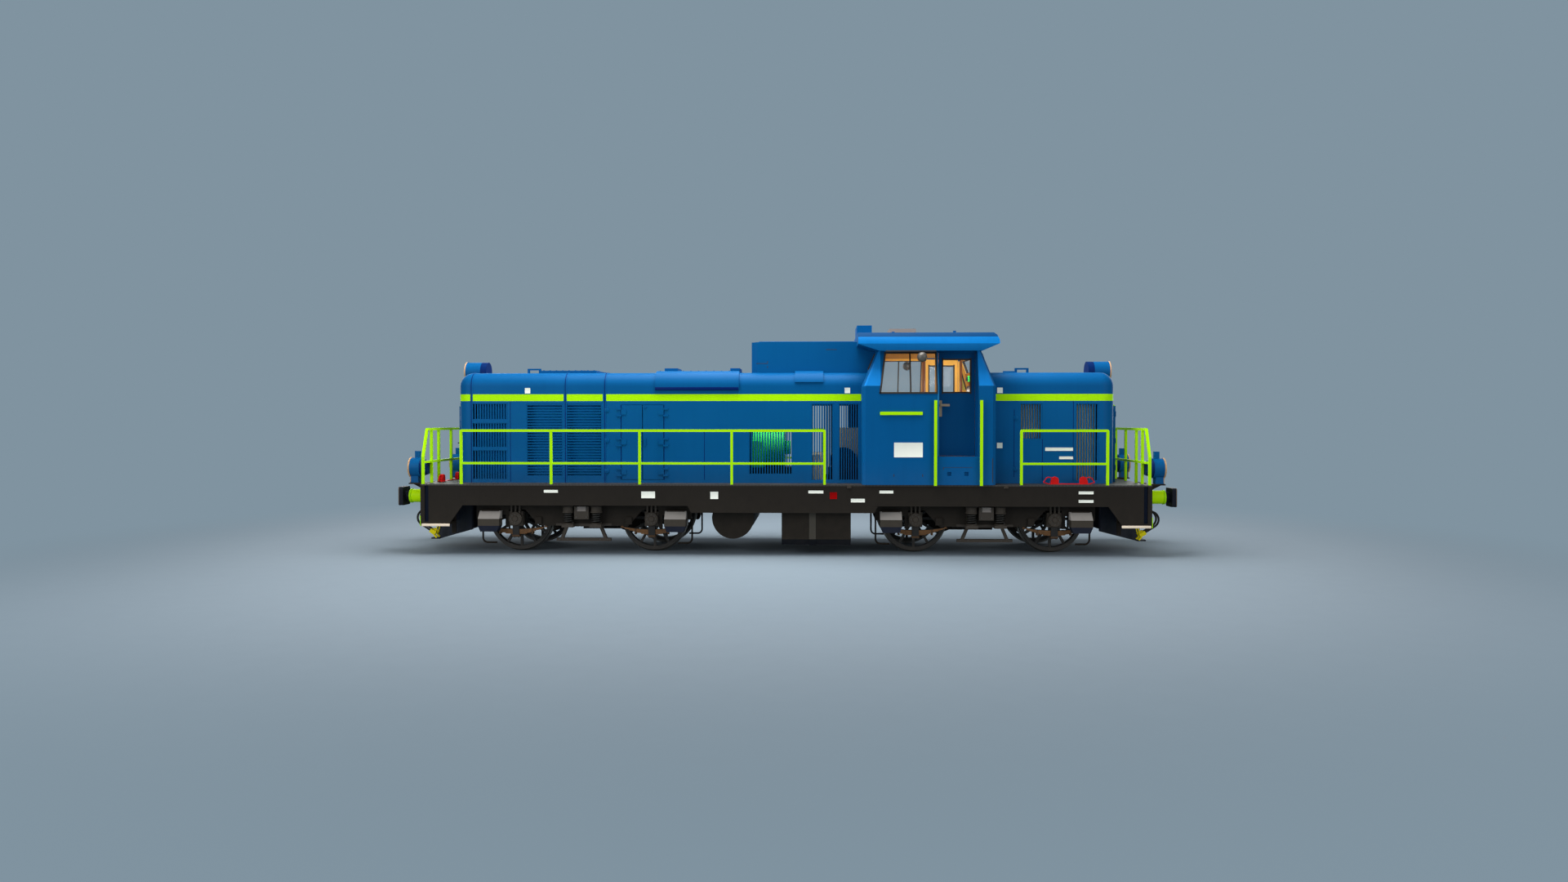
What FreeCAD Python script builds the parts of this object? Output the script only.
import FreeCAD, Part
import math
import os
import Sketcher
from types import SimpleNamespace

# Diesel shunting locomotive on two four-wheel bogies, in millimetres.
# X runs along the locomotive and the long hood points to -X, Y runs across it, Z is up.
# The origin lies under the middle of the locomotive, at the lowest point of the wheel flanges.

doc = FreeCAD.newDocument("locomotive")
Vector = FreeCAD.Vector
NODES = {}

# ------------------------------------------------------------------ driving dimensions
CELLS = [
    # name, millimetres or degrees, what it measures
    ("buffer_reach", 7120, "middle to a buffer's face"),
    ("buffer_gauge", 875, "middle to a buffer's axis"),
    ("buffer_height", 1030, "buffer axis above the wheels' lowest point"),
    ("head_width", 360, "buffer head, across the track"),
    ("head_tall", 340, "buffer head, from top to bottom"),
    ("head_plate", 85, "buffer head thickness"),
    ("plunger_radius", 98, "buffer plunger"),
    ("casing_radius", 122, "buffer casing"),
    ("casing_end", 6945, "outer end of a buffer casing"),
    ("frame_reach", 6540, "middle to a headstock's face"),
    ("frame_side", 1500, "half width of the frame"),
    ("deck_top", 1283, "walkway level"),
    ("deck_plate", 25, "deck thickness"),
    ("sill_low", 900, "underside of the side sill over the bogies"),
    ("sill_low_middle", 777, "underside of the side sill between the bogies"),
    ("sill_plate", 60, "side sill thickness"),
    ("centre_side", 450, "half width of the centre sill"),
    ("centre_low", 1060, "underside of the centre sill"),
    ("headstock_plate", 100, "headstock thickness"),
    ("headstock_low", 740, "underside of the headstock"),
    ("apron_low", 550, "underside of the corner steps"),
    ("pivot_x", 3650, "middle to a bogie pivot"),
    ("bolster_low", 1100, "underside of the body bolster"),
    ("pivot_radius", 100, "bogie pivot pin"),
    ("axle_offset", 1250, "bogie pivot to an axle"),
    ("axle_height", 620, "axle centre"),
    ("flange_radius", 620, "wheel over its flange"),
    ("tread_radius", 590, "wheel tread"),
    ("wheel_back", 680, "middle to the back of a wheel"),
    ("wheel_face", 820, "middle to the front of a wheel rim"),
    ("axle_radius", 88, "axle between the wheels"),
    ("journal_radius", 62, "axle journal"),
    ("bogie_side", 1150, "outer face of the bogie side frame"),
    ("bogie_plate", 70, "bogie side frame thickness"),
    ("hood_side", 1000, "half width of the hoods"),
    ("hood_top", 3310, "top of the hoods"),
    ("hood_end", 6040, "middle to a hood's end face"),
    ("hood_round", 250, "round of the hood's top edges and of its nose's corners"),
    ("hood_wall", 40, "thickness of the hood's panels and doors"),
    ("cab_left", 1420, "cab end towards the long hood"),
    ("cab_right", 3790, "cab end towards the short hood"),
    ("cab_side", 1520, "half width of the cab"),
    ("cab_wall", 50, "thickness of the cab walls"),
    ("cab_belt", 3037, "level where the cab walls start to lean in"),
    ("cab_corner", 60, "chamfer on the cab's corners"),
    ("cab_eaves", 3680, "top of the cab walls"),
    ("eaves_left", 1690, "cab end at the top, long hood side"),
    ("eaves_right", 3560, "cab end at the top, short hood side"),
    ("eaves_side", 1300, "half width of the cab at the top"),
    ("floor_top", 1785, "cab floor"),
    ("door_plane", 1200, "middle to a cab door's outer face"),
    ("door_left", 2800, "free edge of the cab door opening"),
    ("door_right", 3463, "hinge edge of the cab door opening"),
    ("rail_bar", 45, "square railing bar"),
    ("rail_top", 2270, "top of the side railings"),
    ("rail_middle", 1660, "middle bar of the side railings"),
    ("hose_radius", 19, "brake hose"),
    ("hinge_x", 3452, "hinge line of the cab doors"),
    ("hinge_y", 1150, "middle to the hinge line of the cab doors"),
    ("lamp_radius", 180, "headlamp drum"),
    ("lamp_height", 1567, "headlamp axis"),
    ("lamp_side", 1100, "middle to a headlamp axis"),
    ("top_lamp_height", 3360, "axis of the lamps on the hoods' noses"),
]

sheet = doc.addObject("Spreadsheet::Sheet", "dims")


class Size:
    """A length worked out from the sheet: its value, and the expression that gives it."""

    def __init__(self, value, text):
        self.value = value
        self.text = text

    def __add__(self, other):
        other = as_size(other)
        return Size(self.value + other.value, "(%s + %s)" % (self.text, other.text))

    def __sub__(self, other):
        other = as_size(other)
        return Size(self.value - other.value, "(%s - %s)" % (self.text, other.text))

    def __mul__(self, factor):
        return Size(self.value * factor, "(%s * %s)" % (self.text, repr(float(factor))))

    def __rsub__(self, other):
        return as_size(other) - self

    def __neg__(self):
        return self * -1

    __radd__ = __add__
    __rmul__ = __mul__


def as_size(number):
    if isinstance(number, Size):
        return number
    return Size(float(number), repr(float(number)))


def fill_sheet():
    sizes = {}
    for row, (name, value, note) in enumerate(CELLS, 1):
        sheet.set("A%d" % row, note)
        sheet.set("B%d" % row, str(value))
        sheet.setAlias("B%d" % row, name)
        sizes[name] = Size(float(value), "dims." + name)
    doc.recompute()
    return SimpleNamespace(**sizes)


d = fill_sheet()

# ------------------------------------------------------------------ building blocks
ALONG = {"x": (Vector(0, 1, 0), 90), "y": (Vector(1, 0, 0), -90), "z": (Vector(0, 0, 1), 0)}
PLANES = {"x": "YZ_Plane", "y": "XZ_Plane", "z": "XY_Plane"}


def put(item, at, axis="z"):
    """Puts the item's own origin at a point, with its own Z along the named axis."""
    direction, angle = ALONG[axis]
    at = [as_size(value) for value in at]
    base = Vector(*[value.value for value in at])
    item.Placement = FreeCAD.Placement(base, FreeCAD.Rotation(direction, angle))
    for letter, value in zip("xyz", at):
        item.setExpression("Placement.Base." + letter, value.text)
    return item


def bind(item, **sizes):
    for name, size in sizes.items():
        size = as_size(size)
        setattr(item, name, size.value)
        item.setExpression(name, size.text)
    return item


def box(name, low, high):
    """A block between two opposite corners."""
    item = doc.addObject("Part::Box", name)
    spans = [as_size(top) - bottom for bottom, top in zip(low, high)]
    bind(item, Length=spans[0], Width=spans[1], Height=spans[2])
    return put(item, low)


def slab(name, middle, spans):
    """A block given by its middle and its three spans."""
    low = [as_size(centre) - as_size(span) * 0.5 for centre, span in zip(middle, spans)]
    high = [as_size(centre) + as_size(span) * 0.5 for centre, span in zip(middle, spans)]
    return box(name, low, high)


def rod(name, radius, start, length, axis="z"):
    item = doc.addObject("Part::Cylinder", name)
    bind(item, Radius=radius, Height=length)
    return put(item, start, axis)


def cone(name, radius_1, radius_2, start, length, axis="z"):
    item = doc.addObject("Part::Cone", name)
    bind(item, Radius1=radius_1, Radius2=radius_2, Height=length)
    return put(item, start, axis)


def ring(name, radius, bar, middle, axis="z"):
    item = doc.addObject("Part::Torus", name)
    bind(item, Radius1=radius, Radius2=bar)
    return put(item, middle, axis)


def ball(name, radius, middle):
    item = doc.addObject("Part::Sphere", name)
    bind(item, Radius=radius)
    return put(item, middle)


def bar(name, start, end, width, depth=None):
    """A straight bar of rectangular section between two points."""
    start = Vector(*[as_size(value).value for value in start])
    end = Vector(*[as_size(value).value for value in end])
    wide = as_size(width).value
    deep = as_size(width if depth is None else depth).value
    item = doc.addObject("Part::Box", name)
    item.Length = (end - start).Length
    bind(item, Width=width, Height=width if depth is None else depth)
    turn = FreeCAD.Rotation(end - start, Vector(0, 1, 0), Vector(0, 0, 1), "XZY")
    item.Placement = FreeCAD.Placement(start - turn.multVec(Vector(0, wide / 2, deep / 2)), turn)
    return item


def origin_plane(body, role):
    return [item for item in body.Origin.OriginFeatures if item.Role == role][0]


def outline(body, name, plane, points):
    """A closed sketch whose corners are pinned to the sheet."""
    sketch = body.newObject("Sketcher::SketchObject", name)
    sketch.AttachmentSupport = [(origin_plane(body, plane), "")]
    sketch.MapMode = "FlatFace"
    corners = [[as_size(value) for value in point] for point in points]
    places = [Vector(across.value, up.value, 0) for across, up in corners]
    count = len(places)
    for index in range(count):
        sketch.addGeometry(Part.LineSegment(places[index], places[(index + 1) % count]))
    for index in range(count):
        sketch.addConstraint(Sketcher.Constraint("Coincident", index, 2, (index + 1) % count, 1))
    for index, corner in enumerate(corners):
        for kind, size in zip(("DistanceX", "DistanceY"), corner):
            pin = Sketcher.Constraint(kind, -1, 1, index, 1, size.value)
            number = sketch.addConstraint(pin)
            sketch.setExpression("Constraints[%d]" % number, size.text)
    return sketch


def plate(name, axis, points, start, end):
    """A flat outline drawn across the axis and raised along it, from start to end.

    The points are (y, z) for axis x, (x, z) for axis y and (x, y) for axis z.
    """
    start, end = as_size(start), as_size(end)
    body = doc.addObject("PartDesign::Body", name)
    sketch = outline(body, name + "_outline", PLANES[axis], points)
    pad = body.newObject("PartDesign::Pad", name + "_pad")
    pad.Profile = sketch
    pad.SideType = "Symmetric"
    bind(pad, Length=end - start)
    middle = (start + end) * 0.5
    body.setExpression("Placement.Base." + axis, middle.text)
    return body


def fillet(body, radius, wanted):
    """Rounds the body's straight edges whose middle point and direction are wanted."""
    doc.recompute()
    tip = body.Tip
    names = []
    for number, edge in enumerate(tip.Shape.Edges, 1):
        middle = edge.CenterOfMass
        way = edge.Vertexes[-1].Point - edge.Vertexes[0].Point
        if wanted(middle, way):
            names.append("Edge%d" % number)
    feature = body.newObject("PartDesign::Fillet", body.Name + "_round")
    feature.Base = (tip, names)
    bind(feature, Radius=radius)
    body.Tip = feature
    return body


def round_edges(name, base, radius, wanted):
    """The base with its straight edges rounded where their middle point and direction are wanted."""
    doc.recompute()
    item = doc.addObject("Part::Fillet", name)
    item.Base = base
    edges = []
    for number, edge in enumerate(base.Shape.Edges, 1):
        way = edge.Vertexes[-1].Point - edge.Vertexes[0].Point
        if wanted(edge.CenterOfMass, way):
            edges.append((number, radius, radius))
    item.Edges = edges
    return item


def join(name, parts):
    item = doc.addObject("Part::MultiFuse", name)
    item.Shapes = parts
    item.Refine = True
    return item


def cut(name, base, tools):
    item = doc.addObject("Part::Cut", name)
    item.Base = base
    item.Tool = tools[0] if len(tools) == 1 else join(name + "_tools", tools)
    item.Refine = True
    return item


def common(name, parts):
    item = doc.addObject("Part::MultiCommon", name)
    item.Shapes = parts
    item.Refine = True
    return item


def group(name, parts):
    """Like pieces that don't touch, kept together as one sub-part."""
    item = doc.addObject("Part::Compound", name)
    item.Links = parts
    return item


def mirror(name, source, axis):
    item = doc.addObject("Part::Mirroring", name)
    item.Source = source
    item.Base = (0, 0, 0)
    item.Normal = {"x": (1, 0, 0), "y": (0, 1, 0)}[axis]
    return item


def pair(name, source, axis):
    """The source and its mirror image."""
    return group(name, [source, mirror(name + "_other", source, axis)])


def four(name, source):
    """The source at all four corners."""
    side = mirror(name + "_far", source, "y")
    ends = [mirror(name + "_end_" + str(i), item, "x") for i, item in enumerate((source, side))]
    return group(name, [source, side] + ends)


def shifted(name, source, x):
    return put(group(name, [source]), (x, 0, 0))


def node(name, item):
    item.Label = name
    NODES[name] = item
    return item


# ------------------------------------------------------------------ frame
def deck_plate():
    low = (-d.frame_reach, -d.frame_side, d.deck_top - d.deck_plate)
    node("deck_plate", box("deck", low, (d.frame_reach, d.frame_side, d.deck_top)))


GROOVE_BACK, GROOVE_FRONT, GROOVE_LOW, GROOVE_DEEP = 6394, 6466, 600, 25


def corner_groove(name, way):
    """The upright groove in the frame's side just behind a headstock's face, as a tool to cut it."""
    low, high = sorted((way * GROOVE_BACK, way * GROOVE_FRONT))
    top = d.deck_top - d.deck_plate
    return box(name, (low, -d.frame_side - 5, GROOVE_LOW), (high, GROOVE_DEEP - d.frame_side, top))


def side_sills():
    step = 1640
    top = d.deck_top - d.deck_plate
    end = d.frame_reach - d.headstock_plate
    points = [
        (-end, top), (-end, d.sill_low), (-step - 60, d.sill_low), (-step, d.sill_low_middle),
        (step, d.sill_low_middle), (step + 60, d.sill_low), (end, d.sill_low), (end, top),
    ]
    sill = plate("sill", "y", points, d.sill_plate - d.frame_side, -d.frame_side)
    grooves = [corner_groove("sill_groove_left", -1), corner_groove("sill_groove_right", 1)]
    node("side_sills", pair("sills", cut("grooved_sill", sill, grooves), "y"))


def centre_sill():
    top = d.deck_top - d.deck_plate
    end = d.frame_reach - d.headstock_plate
    inner = d.frame_side - d.sill_plate
    parts = [box("centre_beam", (-end, -d.centre_side, d.centre_low), (end, d.centre_side, top))]
    for side, x in (("left", -d.pivot_x), ("right", d.pivot_x)):
        parts.append(box("bolster_" + side, (x - 250, -inner, d.bolster_low), (x + 250, inner, top)))
        parts.append(rod("pivot_plate_" + side, 250, (x, 0, 965), d.centre_low - 965))
        parts.append(rod("pivot_pin_" + side, d.pivot_radius, (x, 0, 720), 260))
    for number, x in enumerate((-5800, -1500, 1500, 5800)):
        parts.append(slab("cross_%d" % number, (x, 0, 1180), (80, 2 * inner, 156)))
    node("centre_sill", join("centre_frame", parts))


def headstock():
    low = (d.frame_reach - d.headstock_plate, -d.frame_side, d.headstock_low)
    return box("headstock", low, (d.frame_reach, d.frame_side, d.deck_top - d.deck_plate))


def corner_step():
    """An apron plate, an inner web with a tab, and two treads between them."""
    rear, edge, front = 5775, 6030, d.frame_reach
    inner = front - d.headstock_plate
    apron_points = [
        (rear, d.sill_low), (edge, d.apron_low), (front, d.apron_low),
        (front, d.headstock_low), (inner, d.headstock_low), (inner, d.sill_low),
    ]
    apron = plate("apron", "y", apron_points, -d.frame_side, 40 - d.frame_side)
    web_points = [
        (edge, d.apron_low - 190), (edge + 70, d.apron_low - 190), (edge + 70, d.apron_low),
        (front, d.apron_low), (front, d.headstock_low), (inner, d.headstock_low),
        (inner, d.centre_low), (edge, d.centre_low),
    ]
    web = plate("step_web", "y", web_points, -1120, -1080)
    treads = []
    for name, level, end in (("low", d.apron_low, front), ("high", d.apron_low + 310, inner)):
        treads.append(box("tread_" + name, (edge, 40 - d.frame_side, level), (end, -1120, level + 35)))
    return join("corner_step", [apron, web] + treads)


def end_frames():
    """Each headstock with the steps at its two corners."""
    step = corner_step()
    groove = corner_groove("headstock_groove", 1)
    parts = [headstock(), step, mirror("corner_step_far", step, "y")]
    grooved = cut("grooved_end_frame", join("end_frame", parts),
                  [groove, mirror("headstock_groove_far", groove, "y")])
    node("end_frames", pair("end_frame_set", grooved, "x"))


# ------------------------------------------------------------------ buffers, hooks and hoses
HEAD_ROUND = 42


def buffers():
    centre = (-d.buffer_gauge, d.buffer_height)
    flange = slab("casing_flange", (d.frame_reach + 15, *centre), (30, 340, 340))
    tube = rod("casing_tube", d.casing_radius, (d.frame_reach, *centre),
               d.casing_end - d.frame_reach, "x")
    node("buffer_casings", four("casings", join("casing", [flange, tube])))
    head_back = d.buffer_reach - d.head_plate
    neck = rod("plunger", d.plunger_radius, (d.casing_end, *centre), head_back - d.casing_end + 5, "x")
    head_middle = (d.buffer_reach - d.head_plate * 0.5, *centre)
    head = slab("head", head_middle, (d.head_plate, d.head_width, d.head_tall))
    round_head = round_edges("head_round", head, HEAD_ROUND, lambda middle, way: abs(way.x) > 1)
    node("buffer_heads", four("heads", join("buffer_head", [neck, round_head])))


def draw_hooks():
    x, z = d.frame_reach, 1050
    base = slab("hook_base", (x + 20, 0, z), (40, 260, 220))
    shank = slab("hook_shank", (x + 120, 0, z), (200, 60, 90))
    hook_points = [
        (x + 180, z - 60), (x + 340, z - 60), (x + 380, z), (x + 380, z + 120), (x + 330, z + 150),
        (x + 310, z + 110), (x + 320, z + 40), (x + 290, z + 10), (x + 250, z + 40),
        (x + 240, z + 80), (x + 180, z + 45),
    ]
    hook = plate("hook_head", "y", hook_points, -30, 30)
    eye = rod("hook_pin", 22, (x + 215, -80, z - 25), 160, "y")
    parts = [base, shank, hook, eye]
    for side in (-1, 1):
        y = 60 * side
        parts.append(bar("link_%d" % side, (x + 215, y, z - 20), (x + 235, y, z - 300), 36))
    parts.append(rod("screw_nut", 30, (x + 235, -90, z - 300), 180, "y"))
    parts.append(bar("screw", (x + 235, 0, z - 290), (x + 245, 0, z - 480), 44))
    parts.append(rod("bow_nut", 28, (x + 245, -90, z - 470), 180, "y"))
    for side in (-1, 1):
        y = 75 * side
        parts.append(bar("bow_%d" % side, (x + 245, y, z - 460), (x + 250, y * 0.8, z - 600), 34))
    parts.append(rod("bow_end", 20, (x + 250, -80, z - 600), 160, "y"))
    node("draw_hooks", pair("hooks", join("draw_hook", parts), "x"))


HOSE_SIDES = (-560, -410, 410, 560)
HOSE_BEND = 150
HOSE_MIDDLE = (6799, 591)
HOSE_COCK, HOSE_COUPLING = 6650, 6705
HOSE_OUT, HOSE_BACK = 22.5, 32.6


def slope(degrees, side):
    """A direction in the XZ plane that falls by so many degrees, towards +X or -X."""
    angle = math.radians(degrees)
    return Vector(side * math.cos(angle), 0, -math.sin(angle))


def hose_path(y):
    """Out and down from the cock, round a bend, and back to the parked coupling."""
    middle = Vector(HOSE_MIDDLE[0], y, HOSE_MIDDLE[1])
    out, back = slope(HOSE_OUT, 1), slope(HOSE_BACK, -1)
    high = middle + Vector(-out.z, 0, out.x) * HOSE_BEND
    low = middle + Vector(-back.z, 0, back.x) * HOSE_BEND
    start = high - out * ((high.x - HOSE_COCK) / out.x)
    end = low + back * ((HOSE_COUPLING - low.x) / back.x)
    return start, end, Part.Wire([
        Part.LineSegment(start, high).toShape(),
        Part.Arc(high, middle + Vector(HOSE_BEND, 0, 0), low).toShape(),
        Part.LineSegment(low, end).toShape(),
    ])


def hose_tube(name, start, path):
    radius = d.hose_radius.value
    section = Part.Wire(Part.Circle(start, slope(HOSE_OUT, 1), radius).toShape())
    tube = doc.addObject("Part::Feature", name)
    tube.Shape = path.makePipeShell([section], True, False)
    expected = math.pi * radius ** 2 * path.Length
    print(name, "length", round(path.Length), "volume ratio", round(tube.Shape.Volume / expected, 4))
    return tube


def hose_cock(name, y, start):
    """A valve on the headstock with its lever, and a nozzle that takes the hose."""
    body = box(name + "_body", (d.frame_reach, y - 28, start.z - 10), (6610, y + 28, start.z + 60))
    nozzle = bar(name + "_nozzle", start - slope(HOSE_OUT, 1) * 70, start, 56)
    lever = bar(name + "_lever", (6590, y, start.z + 50), (6840, y, start.z + 10), 24, 14)
    return join(name, [body, nozzle, lever])


def hose_coupling(name, y, end):
    """The coupling head, parked on a strap that hangs from the headstock."""
    tip = end + slope(HOSE_BACK, -1) * 120
    head = bar(name + "_head", end, tip, 62, 70)
    horn = bar(name + "_horn", tip + Vector(30, 0, -20), tip + Vector(-20, 0, -75), 40, 30)
    foot = box(name + "_foot", (6460, y - 25, d.headstock_low - 40), (6520, y + 25, d.headstock_low))
    strap = bar(name + "_strap", (6490, y, d.headstock_low - 10), tip + Vector(0, 0, 20), 40, 14)
    return join(name, [head, horn, foot, strap])


def brake_hoses():
    hoses, ends = [], []
    for number, y in enumerate(HOSE_SIDES):
        start, end, path = hose_path(y)
        hoses.append(hose_tube("hose_%d" % number, start, path))
        ends.append(hose_cock("cock_%d" % number, y, start))
        ends.append(hose_coupling("coupling_%d" % number, y, end))
    node("brake_hoses", pair("hose_set", group("hose_end", hoses), "x"))
    node("hose_fittings", pair("fitting_set", group("fitting_end", ends), "x"))


# ------------------------------------------------------------------ lamps
def headlamps():
    y, z = -d.lamp_side, d.lamp_height
    tail, back, front, shelf_low = 6530, 6659, 6835, 1265
    drum = rod("lamp_drum", d.lamp_radius, (back, y, z), front - back, "x")
    shell = cone("lamp_back", 125, 170, (tail, y, z), back - tail + 5, "x")
    foot = box("lamp_foot", (6698, y - 90, shelf_low + 25), (6847, y + 90, z - 117))
    handle = box("lamp_handle", (6686, y - 40, z + 133), (6773, y + 40, z + 303))
    shelf = box("lamp_shelf", (d.frame_reach, y - 130, shelf_low), (6858, y + 130, shelf_low + 25))
    rib = plate("lamp_rib", "y", [(d.frame_reach, 1120), (d.frame_reach, shelf_low), (6820, shelf_low)],
                y - 20, y + 20)
    hole = plate("lamp_rib_hole", "y", [(d.frame_reach, 1175), (d.frame_reach, 1240), (6650, 1240)],
                 y - 40, y + 40)
    bezel = rod("lamp_bezel", d.lamp_radius + 8, (front, y, z), 25, "x")
    bracket = cut("lamp_bracket", rib, [hole])
    housing = join("lamp_housing", [drum, shell, foot, handle, shelf, bracket, bezel])
    seat = rod("lamp_seat", 160, (front - 20, y, z), 60, "x")
    lens = rod("lamp_lens", 159, (front - 19, y, z), 30, "x")
    return four("headlamp_set", cut("headlamp", housing, [seat])), four("lens_set", lens)


def top_lamps():
    z = d.top_lamp_height
    drum = rod("top_drum", 190, (5740, 0, z), 405, "x")
    bezel = rod("top_bezel", 197, (6145, 0, z), 25, "x")
    seat = rod("top_seat", 165, (6130, 0, z), 60, "x")
    lamp = cut("top_lamp", join("top_housing", [drum, bezel]), [seat])
    lens = rod("top_lens", 164, (6131, 0, z), 30, "x")
    return pair("top_lamp_set", lamp, "x"), pair("top_lens_set", lens, "x")


def lamps():
    low, low_lenses = headlamps()
    top, top_lenses = top_lamps()
    node("headlamps", group("lamp_housings", [low, top]))
    node("lamp_lenses", group("lenses", [low_lenses, top_lenses]))


# ------------------------------------------------------------------ railings
LONG_POSTS = [-5800, -4165, -2564, -908, 751]
SHORT_POSTS = [4242, 5759]
END_POSTS = [-1050, -675, 0, 675, 1050]
RAIL_ROUND = 36


def side_railing(name, posts):
    half = d.rail_bar * 0.5
    y = half - d.frame_side
    middle, length = (posts[0] + posts[-1]) / 2, posts[-1] - posts[0]
    parts = [slab(name + "_top_bar", (middle, y, d.rail_top - half), (length, d.rail_bar, d.rail_bar)),
             slab(name + "_middle", (middle, y, d.rail_middle), (length, 40, 40))]
    for number, x in enumerate(posts):
        low = (x - half, y - half, d.deck_top)
        parts.append(box("%s_post_%d" % (name, number), low, (x + half, y + half, d.rail_top)))
    ends = (posts[0] - half.value, posts[-1] + half.value)

    def outer_corner(middle, way):
        at_end = min(abs(middle.x - end) for end in ends) < 1
        return at_end and abs(way.y) > 1 and middle.z > d.rail_top.value - 1

    return round_edges(name, join(name + "_bars", parts), RAIL_ROUND, outer_corner)


def side_railings():
    runs = [side_railing("long_run", LONG_POSTS), side_railing("short_run", SHORT_POSTS)]
    node("side_railings", pair("side_railing_set", group("near_runs", runs), "y"))


def end_railings():
    """Upright posts inside, and at each corner a post that leans in above its knee."""
    x = 6497
    half = d.rail_bar * 0.5
    knee, top = 1776, 2270
    corner_y, lean_y = 1477, 1270
    parts = [slab("end_top", (x, 0, top), (d.rail_bar, 2 * lean_y, d.rail_bar)),
             slab("end_middle", (x, 0, 1675), (40, 2700, 40))]
    for number, y in enumerate(END_POSTS):
        parts.append(box("end_post_%d" % number, (x - half, y - half, d.deck_top),
                         (x + half, y + half, top)))
    for side in (-1, 1):
        y = corner_y * side
        parts.append(box("corner_%d" % side, (x - half, y - half, d.deck_top), (x + half, y + half, knee)))
        parts.append(bar("lean_%d" % side, (x, y, knee - 10), (x, lean_y * side, top), d.rail_bar))
    node("end_railings", pair("end_railing_set", join("end_railing", parts), "x"))


# ------------------------------------------------------------------ hoods
def hood_core(name, start, end, inset, nose):
    """A block with round top edges, and at its nose round upright corners too."""
    side = d.hood_side - inset
    top = d.hood_top - inset
    points = [(-side, d.deck_top), (side, d.deck_top), (side, top), (-side, top)]
    body = plate(name, "x", points, start, end)
    nose_x = (as_size(end) - as_size(start)).value / 2 * nose

    def wanted(middle, way):
        at_top = middle.z > top.value - 1
        at_nose = nose and abs(middle.x - nose_x) < 1
        return (abs(way.x) > 1 and at_top) or (at_nose and abs(way.z) > 1) or (at_nose and at_top)

    return fillet(body, d.hood_round - inset, wanted)


VENTS = [
    # name, left edge, right edge, bottom, top, slots, way the slots run
    ("cooling_top", -5750, -5090, 2444, 2744, 13, "up"),
    ("cooling_middle", -5750, -5090, 1931, 2385, 13, "up"),
    ("cooling_bottom", -5750, -5090, 1337, 1881, 13, "up"),
    ("louvre_left", -4736, -4070, 1402, 2740, 26, "across"),
    ("louvre_right", -3998, -3348, 1402, 2740, 26, "across"),
    ("generator_vent", -629, 181, 1440, 2233, 16, "up"),
    ("rear_left", 519, 928, 1334, 2736, 8, "up"),
    ("rear_right", 1020, 1392, 1334, 2736, 8, "up"),
    ("short_left", 4314, 4710, 2089, 2737, 8, "up"),
    ("short_right", 5318, 5729, 1333, 2737, 8, "up"),
]
VENT_MARGIN = 12


def vent_openings(start, end):
    tools = []
    for name, left, right, low, high, slots, way in VENTS:
        if start < (left + right) / 2 < end:
            tools.append(box("opening_" + name, (left, -1100, low), (right, 1100, high)))
    return tools


def grille(name, left, right, low, high, slots, way):
    """A plate with a row of slots, the first one cut and the rest patterned from it."""
    margin = VENT_MARGIN
    outer, inner = -d.hood_side, d.hood_wall - d.hood_side
    points = [(left, low), (right, low), (right, high), (left, high)]
    body = plate(name, "y", points, outer + 6, inner - 4)
    length = (right - left if way == "up" else high - low) - 2 * margin
    pitch = length / slots
    gap = pitch * 0.6
    if way == "up":
        x_1, x_2, z_1, z_2 = left + margin, left + margin + gap, low + margin, high - margin
    else:
        x_1, x_2, z_1, z_2 = left + margin, right - margin, low + margin, low + margin + gap
    sketch = outline(body, name + "_slot", "XZ_Plane", [(x_1, z_1), (x_2, z_1), (x_2, z_2), (x_1, z_2)])
    pocket = body.newObject("PartDesign::Pocket", name + "_pocket")
    pocket.Profile = sketch
    pocket.SideType = "Symmetric"
    pocket.Length = 200
    pattern = body.newObject("PartDesign::LinearPattern", name + "_row")
    pattern.Originals = [pocket]
    pattern.Direction = (sketch, ["H_Axis" if way == "up" else "V_Axis"])
    pattern.Length = pitch * (slots - 1)
    pattern.Occurrences = slots
    body.Tip = pattern
    return body


def hood_grilles():
    near = group("grilles_near", [grille("grille_" + vent[0], *vent[1:]) for vent in VENTS])
    node("hood_grilles", pair("grilles", near, "y"))


HOODS = [
    # node, start, end, side its nose is on (0 where it has none)
    ("hood_radiator_section", -6040, -4012, -1),
    ("hood_engine_section", -4012, -700, 0),
    ("hood_generator_section", -700, 1560, 0),
    ("short_hood", 3660, 6040, 1),
]
MEETS_CAB = ("hood_generator_section", "short_hood")
HINGE_Y = -1012
DOOR_HOLE = (-2980, -2200, 1340, 2720)
HOOD_DOORS = [
    # name, left edge, right edge, x of the hinge, way from the hinge to the leaf, x of the latch
    ("left", -2975, -2597, -2977, 1, None),
    ("right", -2583, -2205, -2203, -1, -2540),
]
HINGE_LEVELS = (1480, 2030, 2580)
HINGE_PIN = 7
LAMP_SEAT = 190


def hinge_half(name, x, y, z, way, height):
    """A knuckle about the pin with its strap, which reaches along X from the pin."""
    knuckle = rod(name + "_knuckle", HINGE_PIN, (x, y, z - height / 2), height)
    low, high = sorted((x, x + way * 90))
    strap = box(name + "_strap", (low, y - 5, z - height / 2), (high, y + 12, z + height / 2))
    return [knuckle, strap]


def hood_hinges():
    """The halves of the door hinges that stay on the hood, above and below each leaf's own."""
    parts = []
    for name, left, right, x, way, latch in HOOD_DOORS:
        for z in HINGE_LEVELS:
            for side in (-1, 1):
                tag = "fixed_%s_%d_%d" % (name, z, side)
                parts += hinge_half(tag, x, HINGE_Y, z + 62 * side, -way, 30)
    near = join("fixed_hinges", parts)
    return [near, mirror("fixed_hinges_far", near, "y")]


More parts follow.
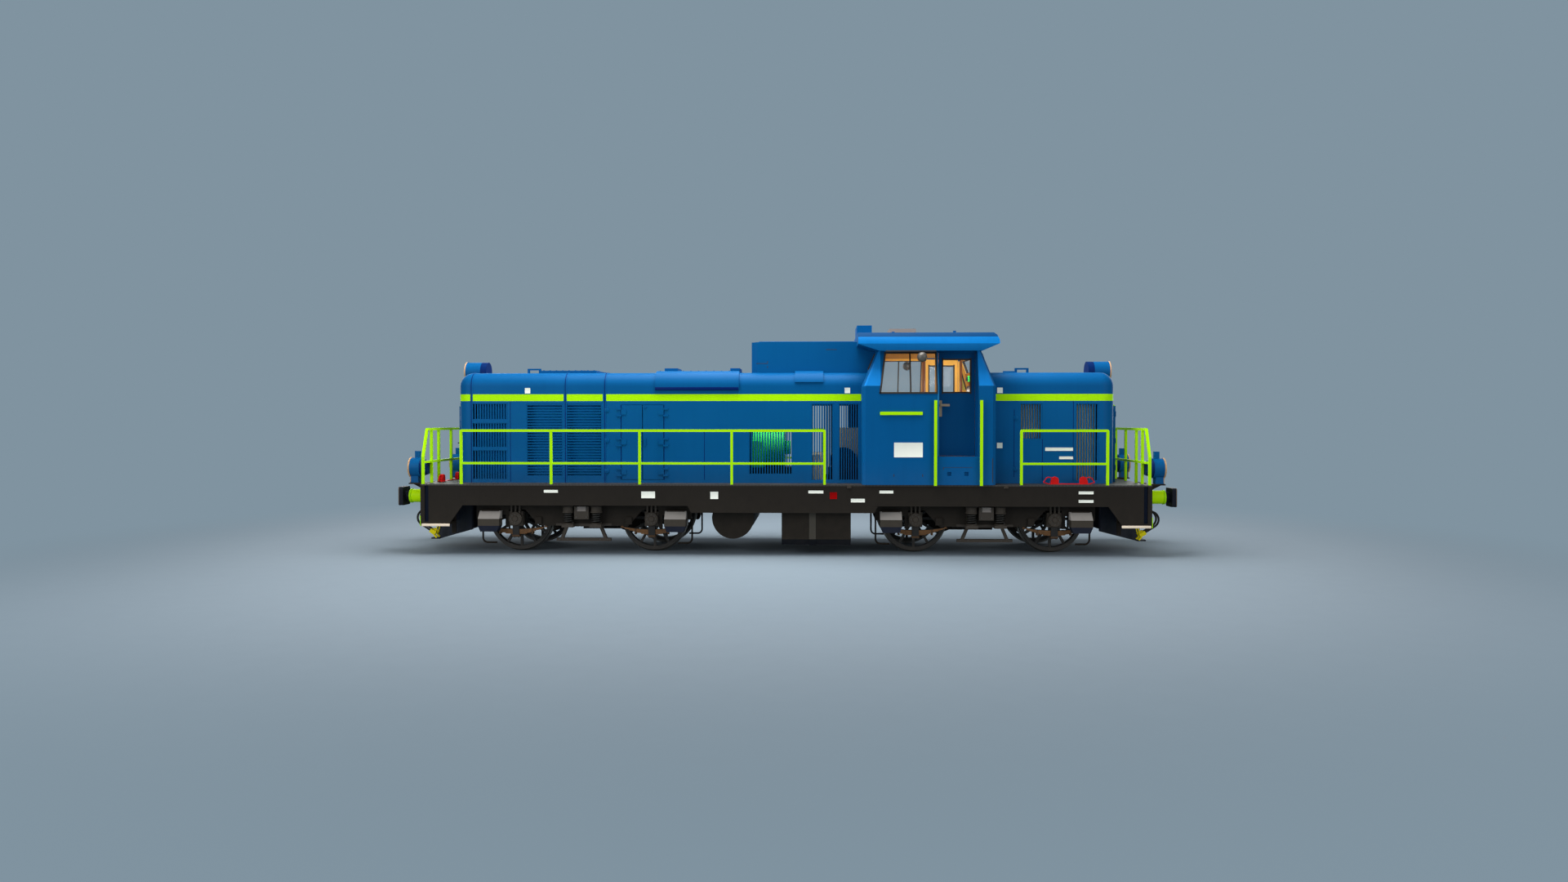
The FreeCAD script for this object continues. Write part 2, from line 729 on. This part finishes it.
def hood_shell(name, start, end, nose, cab_block):
    """Panels around a hollow, with their vents, and at a nose the seat of its top lamp."""
    outer = hood_core(name + "_outer", start, end, as_size(0), nose)
    near_end = start + (d.hood_wall if nose == -1 else -1)
    far_end = end - (d.hood_wall if nose == 1 else -1)
    tools = [hood_core(name + "_inner", near_end, far_end, d.hood_wall, nose)] + vent_openings(start, end)
    if nose:
        low, high = sorted((nose * 5700, nose * 6200))
        tools.append(rod(name + "_lamp_seat", LAMP_SEAT, (low, 0, d.top_lamp_height), high - low, "x"))
    if name in MEETS_CAB:
        tools.append(cab_block)
    if start < DOOR_HOLE[0] < end:
        left, right, low, high = DOOR_HOLE
        tools.append(box("door_opening", (left, -1100, low), (right, 1100, high)))
        return join(name + "_hinged", [cut(name + "_shell", outer, tools)] + hood_hinges())
    return cut(name + "_shell", outer, tools)


def hood_sections(cab_block):
    for name, start, end, nose in HOODS:
        node(name, hood_shell(name, start, end, nose, cab_block))


def hood_door(name, left, right, hinge_x, way, latch_x):
    """A leaf that hangs on three hinges just outside the hood's face."""
    low, high = DOOR_HOLE[2] + 6, DOOR_HOLE[3] - 6
    face = HINGE_Y + 8
    parts = [box("hood_leaf_" + name, (left, face, low), (right, face + 42, high))]
    for z in HINGE_LEVELS:
        parts += hinge_half("leaf_%s_%d" % (name, z), hinge_x, HINGE_Y, z, way, 90)
    if latch_x:
        parts.append(box("latch_" + name, (latch_x - 12, face - 22, 1960), (latch_x + 12, face, 2100)))
    return join("hood_door_" + name, parts)


def hood_doors():
    for row in HOOD_DOORS:
        near = hood_door(*row)
        node("hood_door_near_" + row[0], near)
        node("hood_door_far_" + row[0], mirror("hood_door_mirror_" + row[0], near, "y"))


def nose_doors():
    """The raised access door on each hood's end, with a sloped top."""
    points = [(6040, d.deck_top), (6175, d.deck_top), (6175, 2700), (6040, 2800)]
    node("nose_doors", pair("nose_door_pair", plate("nose_door", "y", points, -450, 450), "x"))


def shoulder_cover(name, left, right, rise, lip, tools):
    """A cover that lies over the hood's top and its round shoulders, down to a lip."""
    side, top, low = d.hood_side + rise, d.hood_top + rise, 2950
    outer = plate(name + "_outer", "x", [(-side, low), (side, low), (side, top), (-side, top)], left, right)

    def upper(middle, way):
        return abs(way.x) > 1 and middle.z > top.value - 1

    outer = fillet(outer, d.hood_round + rise, upper)
    below = box(name + "_below", (left - 50, -side - 50, low - 50), (right + 50, side + 50, lip))
    return cut(name, outer, tools + [below])


COVERS = [
    # name, left, right, rise above the hood, level of its lip
    ("engine_cover", -2354, -816, 35, 3010),
    ("exhaust_cover", 210, 732, 35, 3130),
]
LOOPS = (("long", -4688), ("short", 4400))


def hood_roof_covers(duct):
    """Raised plates, covers and lifting loops on the hoods."""
    top = d.hood_top
    parts = [box("fan_plate", (-4550, -700, top), (-3500, 700, top + 50))]
    for number, (name, left, right, rise, lip) in enumerate(COVERS):
        hood = hood_core("cover_inner_%d" % number, left - 50, right + 50, as_size(0), 0)
        parts.append(shoulder_cover(name, left, right, rise, lip, [hood, duct]))
    for name, left, right in (("left", -2280, -2030), ("right", -1030, -850)):
        parts.append(box("cover_box_" + name, (left, -300, top + 35), (right, 300, top + 110)))
    for name, x in LOOPS:
        for side in (-1, 1):
            y = 620 * side
            outer = slab("loop_%s_%d" % (name, side), (x, y, top + 45), (254, 30, 90))
            hole = slab("loop_hole_%s_%d" % (name, side), (x, y, top + 30), (170, 60, 60))
            parts.append(cut("lifting_loop_%s_%d" % (name, side), outer, [hole]))
    node("hood_roof_covers", group("roof_covers", parts))


def duct_block():
    """The outer form of the tall box on the long hood, with chamfered front corners."""
    front, side, corner = -600, 750, 110
    points = [(front, corner - side), (front + corner, -side), (1700, -side), (1700, side),
              (front + corner, side), (front, side - corner)]
    return plate("duct_block", "z", points, d.hood_top, 3880)


# ------------------------------------------------------------------ cab
def rectangle(left, right, side, corner):
    """The corners of a rectangle across Z with chamfered corners, all around."""
    return [
        (left + corner, -side), (right - corner, -side), (right, corner - side), (right, side - corner),
        (right - corner, side), (left + corner, side), (left, side - corner), (left, corner - side),
    ]


def section_face(level, left, right, side, corner):
    points = [[as_size(value).value for value in point] for point in rectangle(left, right, side, corner)]
    corners = [Vector(x, y, level.value) for x, y in points]
    return Part.makePolygon(corners + corners[:1])


def cab_core(name, inset):
    """The cab's outer form, or its inside when inset by the wall."""
    left, right, side = d.cab_left + inset, d.cab_right - inset, d.cab_side - inset
    lower = plate(name + "_lower", "z", rectangle(left, right, side, d.cab_corner),
                  d.deck_top - inset, d.cab_belt)
    upper = doc.addObject("Part::Feature", name + "_upper")
    belt = section_face(d.cab_belt, left, right, side, d.cab_corner)
    eaves = section_face(d.cab_eaves, d.eaves_left + inset, d.eaves_right - inset,
                         d.eaves_side - inset, d.cab_corner)
    upper.Shape = Part.makeLoft([belt, eaves], True, True)
    return join(name, [lower, upper])


SIDE_WINDOW = [(1739, 2919), (2743, 2919), (2743, 3640), (1838, 3640)]
END_WINDOWS = [
    # name, outer x, y from, y to, z from, z to
    ("left", 1300, 820, 1200, 3370, 3620),
    ("right", 3400, 120, 1200, 3370, 3620),
]


def cab_openings():
    tools = [plate("window_hole", "y", SIDE_WINDOW, -1700, 1700),
             box("door_hole", (2781, -1700, d.floor_top), (3485, 1700, 3700))]
    for name, x, y_1, y_2, z_1, z_2 in END_WINDOWS:
        for side in (-1, 1):
            low, high = sorted((y_1 * side, y_2 * side))
            tools.append(box("end_hole_%s_%d" % (name, side), (x, low, z_1), (x + 500, high, z_2)))
    return tools


def vestibule():
    """The cheeks, threshold and door posts of the recess in which a door stands."""
    outer, inner = 30 - d.cab_side, -d.hinge_y
    floor, low, top = d.floor_top, d.floor_top - 50, 3690
    return join("vestibule", [
        box("cheek_left", (2745, outer, low), (2781, inner, top)),
        box("cheek_right", (3485, outer, low), (3535, inner, top)),
        box("threshold", (2745, outer, low), (3535, inner, floor)),
        box("jamb_left", (2781, -d.door_plane, floor), (d.door_left, inner, top)),
        box("jamb_right", (d.door_right, -d.door_plane, floor), (3485, inner, top)),
    ])


def cab_walls(cab_block):
    hollow = cab_core("cab_inner", d.cab_wall)
    shell = cut("cab_shell", cab_block, [hollow] + cab_openings())
    split = d.eaves_side - d.cab_wall - 10
    mask = box("side_mask", (1000, -2000, 1000), (4200, -split, 4000))
    recess = common("vestibule_inside", [vestibule(), hollow])
    holes = [slab("foot_hole_%d" % x, (x, -d.cab_side, 1481), (70, 60, 70)) for x in (2963, 3268)]
    near = cut("near_side", join("near_wall_solid", [common("near_wall", [shell, mask]), recess]), holes)
    node("cab_side_walls", pair("side_walls", near, "y"))
    node("cab_end_walls", cut("ends_both", shell, [mask, mirror("side_mask_far", mask, "y")]))


def cab_floor():
    side = d.hinge_y
    low = (d.cab_left + d.cab_wall, -side, d.floor_top - 50)
    node("cab_floor", box("floor", low, (d.cab_right - d.cab_wall, side, d.floor_top)))


def roof_form():
    """Where the roof's end view and its side view meet."""
    across = [
        (-1300, 3680), (1300, 3680), (1540, 3785), (1540, 3905), (1350, 4000), (-1350, 4000),
        (-1540, 3905), (-1540, 3785),
    ]
    along = [
        (1690, 3680), (3560, 3680), (3840, 3790), (3840, 3860), (3800, 3950), (3736, 4000), (1347, 4000),
        (1347, 3785),
    ]
    end_view = plate("roof_across", "x", across, 1300, 3900)
    side_view = plate("roof_along", "y", along, -1600, 1600)
    return common("roof_form", [end_view, side_view])


def cab_roof(form):
    inside = box("ceiling_space", (1760, -1240, 3600), (3490, 1240, 3900))
    node("cab_roof", cut("roof", form, [inside]))
    parts = [
        box("roof_box_blue", (1364, -450, 4000), (1642, 450, 4210)),
        box("roof_box_beige", (1980, -300, 4000), (2480, 300, 4160)),
        box("roof_lug_left", (1985, -900, 4000), (2035, -850, 4055)),
        box("roof_lug_right", (3105, -900, 4000), (3155, -850, 4070)),
    ]
    node("roof_boxes", group("roof_box_set", parts))


def cab_glass():
    """Panes set in the walls' openings, just inside the outer faces."""
    inner = cab_core("glass_inner", as_size(30))
    outer = cab_core("glass_outer", as_size(18))
    band = cut("glass_band", outer, [inner])
    panes = [plate("side_panes", "y", SIDE_WINDOW, -1700, 1700)]
    for name, x, y_1, y_2, z_1, z_2 in END_WINDOWS:
        for side in (-1, 1):
            low, high = sorted((y_1 * side, y_2 * side))
            panes.append(box("end_pane_%s_%d" % (name, side), (x, low, z_1), (x + 500, high, z_2)))
    node("cab_glass", common("glass", [band, join("pane_forms", panes)]))


DOOR_WINDOW = (2876, 3382, 2919, 3543)
DOOR_HINGES = (1950, 2700, 3450)


def door_leaf(name, side):
    """A leaf with its window hole, and three knuckles on the hinge line inside it."""
    low, high = sorted((side * d.door_plane.value, side * (d.door_plane.value - 45)))
    left, right, bottom, top = DOOR_WINDOW
    leaf = box("leaf_" + name, (d.door_left + 8, low, d.floor_top + 10), (d.door_right - 6, high, 3660))
    hole = box("leaf_hole_" + name, (left, low - 20, bottom), (right, high + 20, top))
    knuckles = [rod("hinge_%s_%d" % (name, z), 8, (d.hinge_x, d.hinge_y * side, z - 50), 100)
                for z in DOOR_HINGES]
    return join("leaf_hung_" + name, [cut("leaf_cut_" + name, leaf, [hole])] + knuckles)


def door_handle(name, side):
    face = d.door_plane.value
    return [
        slab("handle_plate_" + name, (2835, side * (face + 8), 2645), (60, 16, 290)),
        slab("handle_post_" + name, (2850, side * (face + 35), 2700), (36, 40, 36)),
        slab("handle_lever_" + name, (2915, side * (face + 50), 2705), (170, 20, 42)),
    ]


def cab_doors():
    """Each leaf closes a recess and swings inward."""
    left, right, bottom, top = DOOR_WINDOW
    for name, side in (("near", -1), ("far", 1)):
        node("cab_door_" + name, join("door_" + name, [door_leaf(name, side)] + door_handle(name, side)))
        middle = side * (d.door_plane - 30)
        pane = box("glass_" + name, (left, middle - 5, bottom), (right, middle + 5, top))
        node("door_glass_" + name, pane)


def cab_handrails():
    """Upright rails beside the doors and a level one under the window."""
    wall = -d.cab_side
    parts = []
    for number, x in enumerate((2713, 3521)):
        rail = slab("door_rail_%d" % number, (x, wall - 65, 2031), (50, 40, 1514))
        feet = [box("door_rail_foot_%d_%d" % (number, z), (x - 20, wall - 45, z - 20), (x + 20, wall, z + 20))
                for z in (1340, 2740)]
        parts.append(join("grab_rail_%d" % number, [rail] + feet))
    parts.append(box("wall_rail", (1736, wall - 30, 2527), (2489, wall, 2585)))
    node("cab_handrails", pair("handrail_set", group("rails_near", parts), "y"))


def eaves_lamps():
    """A round lamp on an arm under the roof's edge, on each side."""
    x, y, z = 2472, -1600, 3549
    lamp = join("eaves_lamp", [ball("lamp_ball", 90, (x, y, z)),
                               bar("lamp_arm", (x, y + 40, z + 51), (x, y + 100, z + 216), 30)])
    wall_side = box("eaves_cut", (x - 400, y + 100, z - 50), (x + 400, y + 600, z + 450))
    node("eaves_lamps", pair("eaves_lamp_set", cut("eaves_lamp_cut", lamp, [wall_side]), "y"))


def cab_interior():
    floor = d.floor_top
    desk = join("desk", [
        box("desk_body", (3540, -700, floor), (3700, 700, 2650)),
        box("desk_top", (3440, -450, 2560), (3700, 450, 2650)),
    ])
    seat = join("seat", [
        rod("seat_post", 60, (2350, -700, floor), 420),
        box("seat_cushion", (2130, -930, floor + 420), (2570, -470, floor + 520)),
        box("seat_back", (2130, -930, floor + 500), (2210, -470, floor + 1100)),
    ])
    cabinet = box("cabinet", (1480, -900, floor), (1800, 900, 2800))
    node("cab_interior", group("interior", [desk, seat, cabinet]))


# ------------------------------------------------------------------ machines
def machines():
    floor = d.deck_top
    node("diesel_engine", box("engine", (-3200, -450, floor), (-900, 450, 2700)))
    node("generator", join("generator_set", [
        box("generator_box", (-610, -430, floor), (-390, 430, 2040)),
        rod("generator_drum", 378, (-600, 0, 1910), 605, "x"),
        rod("generator_stub", 130, (0, 0, 1910), 110, "x"),
        box("generator_base", (-400, -350, floor), (170, 350, 1545)),
    ]))
    node("air_compressor", group("compressor_set", [
        join("compressor", [rod("compressor_drum", 255, (1115, -500, 1665), 480, "y"),
                            box("compressor_base", (830, -450, floor), (1400, -100, 1545))]),
        box("cabinet_left", (540, -800, floor), (760, 800, 1800)),
        join("cabinet_right", [box("cabinet_low", (1000, 0, floor), (1405, 800, 2290)),
                               box("cabinet_high", (1225, 0, 2200), (1405, 800, 2745))]),
    ]))
    node("inner_cabinets", group("cabinet_blocks", [
        box("radiators", (-5700, -850, floor), (-3400, 850, 2900)),
        box("batteries", (4200, -820, floor), (5700, 820, 2760)),
    ]))


def fuel_tank():
    points = [(-1300, 1060), (-1300, 285), (-1220, 180), (1220, 180), (1300, 285), (1300, 1060)]
    tank = plate("tank", "x", points, -20, 1227)
    straps = plate("tank_strap", "x", [(-1312, 1060), (-1312, 281), (-1225, 168), (1225, 168),
                                       (1312, 281), (1312, 1060)], 476, 597)
    node("fuel_tank", join("tank_set", [tank, straps]))


def air_reservoir():
    drum = rod("reservoir_drum", 380, (-910, -1200, 660), 2400, "y")
    saddles = [slab("saddle_%d" % y, (-910, y, 960), (260, 120, 200)) for y in (-380, 380)]
    node("air_reservoir", join("reservoir", [drum] + saddles))


def rail_guards():
    """A blade under each headstock that sweeps back from its middle, with a foot at its point."""
    tip, rear, side, thick = 6770, 5740, 1100, 32
    plan = [(tip, 0), (rear, -side), (rear - 24, thick - side), (tip - 42, 0),
            (rear - 24, side - thick), (rear, side)]
    blade = plate("blade", "z", plan, 120, 900)
    side_view = [(5700, 432), (5700, 870), (6430, 870), (6430, d.headstock_low),
                 (d.frame_reach, d.headstock_low), (6790, 370), (6776, 150), (6735, 128)]
    outline_mask = plate("blade_mask", "y", side_view, -1300, 1300)
    hangers = [box("hanger_%d" % way, (6080, 700 * way - 25, 560), (6500, 700 * way + 25, d.headstock_low))
               for way in (-1, 1)]
    foot = box("guard_foot", (6690, -120, 138), (6852, 120, 166))
    guard = join("guard", [common("blade_low", [blade, outline_mask]), foot] + hangers)
    node("rail_guards", pair("guards", guard, "x"))


SHOE_BLOCK = [(-68, 12), (68, 12), (68, 55), (38, 122), (-5, 140), (-58, 118), (-72, 70)]
SHOE_GRIP = [(30, 110), (100, 128), (145, 112), (195, 34), (110, 8)]


def drag_shoe_pair(name, reach):
    """Two shoes on one strip, so far from its middle, with a loop handle beyond each."""
    parts = [slab(name + "_strip", (0, 0, 6), (2 * (reach + 120), 90, 12))]
    for side in (-1, 1):
        points = [(side * (reach + x), z) for x, z in SHOE_BLOCK]
        parts.append(plate("%s_shoe_%d" % (name, side), "y", points, -35, 35))
        grip = [(side * (reach + x), 0, z) for x, z in SHOE_GRIP]
        for number, (start, end) in enumerate(zip(grip, grip[1:])):
            parts.append(bar("%s_grip_%d_%d" % (name, side, number), start, end, 16))
            parts.append(ball("%s_bend_%d_%d" % (name, side, number), 8, end))
    return join(name, parts)


def drag_shoes():
    near = put(group("near_shoes", [drag_shoe_pair("shoe_near", 260)]), (5147, -1200, d.deck_top))
    across = group("end_shoes", [drag_shoe_pair("shoe_end", 440)])
    across.Placement = FreeCAD.Placement(Vector(-6413, -290, d.deck_top.value),
                                         FreeCAD.Rotation(Vector(0, 0, 1), 90))
    node("drag_shoes", group("shoes", [near, across]))


# ------------------------------------------------------------------ bogies
# Levels and places in a bogie, measured from its middle.
FRAME_LOW, HORN_LOW, ARM_LOW = 800, 620, 505
FRAME_EDGE = [
    # x from the pivot, level, along the lower edge and back over the top
    (545, ARM_LOW), (820, ARM_LOW), (1085, FRAME_LOW), (1380, FRAME_LOW), (1380, 470), (1444, 470),
    (1444, 700), (1600, 700), (1600, HORN_LOW), (1980, HORN_LOW), (1980, 1000), (1800, 1050),
]
COIL_X, COIL_LOW, COIL_HIGH = 255, 545, 870


def sand_pipe(name, end, side):
    """Down from the sandbox's inner side, round a bend, and along to the foot of the wheel."""
    x, y, bend = end * 1955, side * 850, 90
    low, high = 160, 650
    across = rod(name + "_across", 17, (x, min(y, side * 1120), high), 270, "y")
    drop = rod(name + "_drop", 17, (x, y, low + bend), high - low - bend)
    turn = doc.addObject("Part::Feature", name + "_turn")
    start = Vector(x, y, low + bend)
    middle = Vector(x - end * bend * (1 - math.sqrt(0.5)), y, low + bend * (1 - math.sqrt(0.5)))
    path = Part.Wire([Part.Arc(start, middle, Vector(x - end * bend, y, low)).toShape()])
    section = Part.Wire(Part.Circle(start, Vector(0, 0, 1), 17).toShape())
    turn.Shape = path.makePipeShell([section], True, False)
    spout_x = sorted((x - end * bend, x - end * 260))
    spout = rod(name + "_spout", 17, (spout_x[0], y, low), spout_x[1] - spout_x[0], "x")
    return join(name, [across, drop, turn, spout])


def sandbox(name, x, side):
    """A box with a sloped lid, over a hopper that narrows downwards."""
    inner, outer, lip, hopper = side * 1150, side * 1350, 640, 514
    lid = plate(name + "_box", "x", [(inner, hopper), (outer, hopper), (outer, lip),
                                     (side * 1230, 780), (inner, 780)], x - 195, x + 195)
    low, high = sorted((inner, outer))
    funnel = plate(name + "_hopper", "y", [(x - 195, hopper), (x - 150, 410), (x + 150, 410),
                                           (x + 195, hopper)], low, high)
    return [lid, funnel, sand_pipe(name + "_pipe", 1 if x > 0 else -1, side)]


def spring_plank(name, side):
    """The open trapezium below the springs, with the shelves that the springs stand on."""
    low, high = sorted((side * 1080, side * 1160))
    plank = plate(name, "y", [(-500, 226), (500, 226), (500, 279), (430, 279), (340, 490), (340, 545),
                              (-340, 545), (-340, 490), (-430, 279), (-500, 279)], low, high)
    gap = plate(name + "_gap", "y", [(-370, 279), (370, 279), (285, 490), (-285, 490)], low - 20, high + 20)
    parts = [cut(name + "_open", plank, [gap])]
    low, high = sorted((side * 1120, side * 1355))
    for number, x in enumerate((-COIL_X, COIL_X)):
        parts.append(box("%s_shelf_%d" % (name, number), (x - 105, low, 490), (x + 105, high, COIL_LOW)))
        parts.append(box("%s_cap_%d" % (name, number), (x - 105, low, COIL_HIGH), (x + 105, high, 905)))
    return parts


def bogie_frame():
    """Two side frames, a bolster with the pivot's bore, end beams, sandboxes and spring planks."""
    outer, inner = d.bogie_side, d.bogie_side - d.bogie_plate
    right = [(x, z) for x, z in FRAME_EDGE]
    left = [(-x, z) for x, z in reversed(FRAME_EDGE)]
    side_frame = plate("bogie_side_frame", "y", left + right, -outer, -inner)
    bolster = box("bogie_bolster", (-250, -inner, 730), (250, inner, 950))
    bore = rod("pivot_bore", d.pivot_radius + 5, (0, 0, 600), 500)
    parts = [side_frame, mirror("bogie_side_far", side_frame, "y"), cut("bolster_bored", bolster, [bore])]
    for number, x in enumerate((-1940, 1940)):
        parts.append(slab("end_beam_%d" % number, (x, 0, 900), (80, 2 * inner, 160)))
    for number, x in enumerate((-1700, 1700)):
        for side in (-1, 1):
            parts += sandbox("sandbox_%d_%d" % (number, side + 1), x, side)
    for side in (-1, 1):
        low, high = sorted((side * outer, side * (outer + 200)), key=lambda size: size.value)
        parts.append(box("damper_block_%d" % side, (-130, low, 640), (130, high, 870)))
        low, high = sorted((side * outer, side * (outer + 35)), key=lambda size: size.value)
        for x in (-829, 829):
            parts.append(box("stop_block_%d_%d" % (x, side), (x - 59, low, 532), (x + 59, high, 664)))
        parts += spring_plank("plank_%d" % side, side)
    return join("bogie_frame", parts + [brake_gear()])


def axleboxes():
    boxes = []
    x = d.axle_offset
    body = box("axlebox_body", (x - 125, -1150, 500), (x + 125, -980, 765))
    cover = rod("axlebox_cover", 120, (x, -1205, d.axle_height + 15), 60, "y")
    ribs = [box("axlebox_rib_%d" % dx, (x + dx - 15, -1190, 740), (x + dx + 15, -1150, 885))
            for dx in (-75, 0, 75)]
    bore = rod("axlebox_bore", d.journal_radius + 1, (x, -1140, d.axle_height), 200, "y")
    return four("axlebox_set", cut("axlebox", join("axlebox_solid", [body, cover] + ribs), [bore]))


LEAVES = 6


def leaf(half, middle, rise, thick, x, y):
    """One leaf of a spring: a strip that bends up towards its ends."""
    def arc(shift):
        level = middle + shift
        return Part.Arc(Vector(x - half, y, level + rise), Vector(x, y, level),
                        Vector(x + half, y, level + rise)).toShape()

    low, high = arc(0), arc(thick)
    ends = [Part.LineSegment(low.Vertexes[i].Point, high.Vertexes[i].Point).toShape() for i in (0, 1)]
    return Part.Face(Part.Wire([low, ends[1], high, ends[0]])).extrude(Vector(0, 90, 0))


def leaf_springs():
    """Each spring is a stack of leaves in a buckle, hung from the frame by two links."""
    x, y = d.axle_offset.value, -1150
    thick, longest, shorter, rise = 15, 570, 75, 55
    leaves = []
    for number in range(LEAVES):
        half = longest - shorter * number
        leaves.append(leaf(half, 425 - thick * number, rise * (half / longest) ** 2, thick, x, y))
    stack = doc.addObject("Part::Feature", "leaf_stack")
    stack.Shape = leaves[0].multiFuse(leaves[1:]).removeSplitter()
    buckle = box("buckle", (x - 60, y - 15, 290), (x + 60, y + 105, 500))
    links = [box("spring_link_%d" % side, (x + side * 545 - 17, y + 18, 470),
                 (x + side * 545 + 17, y + 52, HORN_LOW if side > 0 else ARM_LOW)) for side in (-1, 1)]
    return four("spring_set", join("leaf_spring", [stack, buckle] + links))


def coil_springs():
    """A spring between its shelf and the cup under the frame's cap."""
    y, turns = -1255, 5
    seat = rod("coil_seat", 95, (COIL_X, y, COIL_LOW), 18)
    core = rod("coil_core", 66, (COIL_X, y, COIL_LOW), COIL_HIGH - COIL_LOW)
    cup = rod("coil_cup", 95, (COIL_X, y, 765), COIL_HIGH - 765)
    coils = [ring("coil_%d" % turn, 78, 17, (COIL_X, y, 582 + 40 * turn)) for turn in range(turns)]
    return four("coil_set", join("coil_spring", [seat, core, cup] + coils))


def traction_motors():
    """Each motor hangs on its axle by a bearing block."""
    x = d.axle_offset
    body = rod("motor_body", 270, (700, -480, d.axle_height), 960, "y")
    block = box("motor_bearing", (700, -400, 470), (x + 130, 400, 770))
    bore = rod("motor_bore", d.axle_radius + 6, (x, -600, d.axle_height), 1200, "y")
    motor = cut("motor", join("motor_solid", [body, block]), [bore])
    return pair("motor_set", motor, "x")


def brake_gear():
    """A shoe behind each wheel's tread on the pivot side, hung from the frame."""
    x = d.axle_offset.value
    shoe_outer = rod("shoe_outer", 655, (x, -815, d.axle_height), 90, "y")
    shoe_hole = rod("shoe_hole", d.flange_radius + 8, (x, -900, d.axle_height), 300, "y")
    window = box("shoe_window", (300, -830, 430), (700, -700, 700))
    shoe = common("shoe", [cut("shoe_ring", shoe_outer, [shoe_hole]), window])
    hanger = bar("shoe_hanger", (x - 645, -770, 560), (x - 690, -770, 900), 50, 40)
    beam = box("hanger_beam", (x - 720, -1080, 880), (x - 650, -740, 940))
    return four("brake_set", join("brake_shoe", [shoe, hanger, beam]))


SPOKES = 12
SPOKE_START, SPOKE_END = 120, 535


def wheel_rim():
    """The rim and its flange, turned about Y."""
    back, face, inside = d.wheel_back, d.wheel_face, 520
    profile = [(back, inside), (back, d.flange_radius), (back + 32, d.flange_radius),
               (back + 40, d.tread_radius), (face, d.tread_radius - 5), (face, inside)]
    body = doc.addObject("PartDesign::Body", "rim_body")
    rim = outline(body, "rim_outline", "XY_Plane", [(radius, -across) for across, radius in profile])
    turn = body.newObject("PartDesign::Revolution", "rim_turn")
    turn.Profile = rim
    turn.ReferenceAxis = (rim, ["V_Axis"])
    turn.Angle = 360
    return body


def wheelset():
    """Two spoked wheels on their axle, about the axle's middle."""
    spokes = []
    for number in range(SPOKES):
        angle = 2 * math.pi * number / SPOKES
        reach = Vector(math.cos(angle), 0, math.sin(angle))
        middle = Vector(0, -752, 0)
        start, end = middle + reach * SPOKE_START, middle + reach * SPOKE_END
        spokes.append(bar("spoke_%d" % number, start, end, 60, 46))
    wheel = join("wheel", [wheel_rim(), rod("hub", 145, (0, -850, 0), 190, "y")] + spokes)
    axle = rod("axle", d.axle_radius, (0, -700, 0), 1400, "y")
    journal = rod("journal", d.journal_radius, (0, -1130, 0), 2260, "y")
    return join("wheelset", [wheel, mirror("other_wheel", wheel, "y"), axle, journal])


def bogies():
    pieces = {
        "frame": bogie_frame(), "axleboxes": axleboxes(), "leaf_springs": leaf_springs(),
        "coil_springs": coil_springs(), "traction_motors": traction_motors(),
    }
    rolling = wheelset()
    number = 0
    for side, x in (("left", -d.pivot_x), ("right", d.pivot_x)):
        for piece, source in pieces.items():
            name = "bogie_%s_%s" % (side, piece)
            node(name, shifted(name + "_place", source, x))
        for offset in (-d.axle_offset, d.axle_offset):
            number += 1
            name = "wheelset_%d" % number
            item = group(name + "_place", [rolling])
            node(name, put(item, (x + offset, 0, d.axle_height)))


# ------------------------------------------------------------------ the whole
def build():
    deck_plate()
    side_sills()
    centre_sill()
    end_frames()
    buffers()
    draw_hooks()
    brake_hoses()
    lamps()
    side_railings()
    end_railings()
    cab_block = cab_core("cab_outer", as_size(0))
    form = roof_form()
    hood_sections(cab_block)
    hood_grilles()
    hood_doors()
    nose_doors()
    duct = duct_block()
    hood_roof_covers(duct)
    node("roof_duct", cut("duct", duct, [cab_block, form]))
    cab_walls(cab_block)
    cab_floor()
    cab_roof(form)
    cab_glass()
    cab_doors()
    cab_handrails()
    eaves_lamps()
    cab_interior()
    machines()
    fuel_tank()
    air_reservoir()
    rail_guards()
    drag_shoes()
    bogies()


def check():
    failed = [item.Name for item in doc.Objects if {"Invalid", "Error"} & set(item.State)]
    if failed:
        raise RuntimeError("these objects failed: " + ", ".join(failed))
    for name, item in NODES.items():
        if item.Shape.isNull() or not item.Shape.isValid() or not item.Shape.Solids:
            raise RuntimeError("this sub-part has no valid solid: " + name)


def write():
    os.makedirs("parts", exist_ok=True)
    for name, item in NODES.items():
        item.Shape.exportStep("parts/%s.step" % name)
        print("%-28s solids %3d volume %.4f m3" % (name, len(item.Shape.Solids), item.Shape.Volume / 1e9))


build()
doc.recompute()
check()
write()
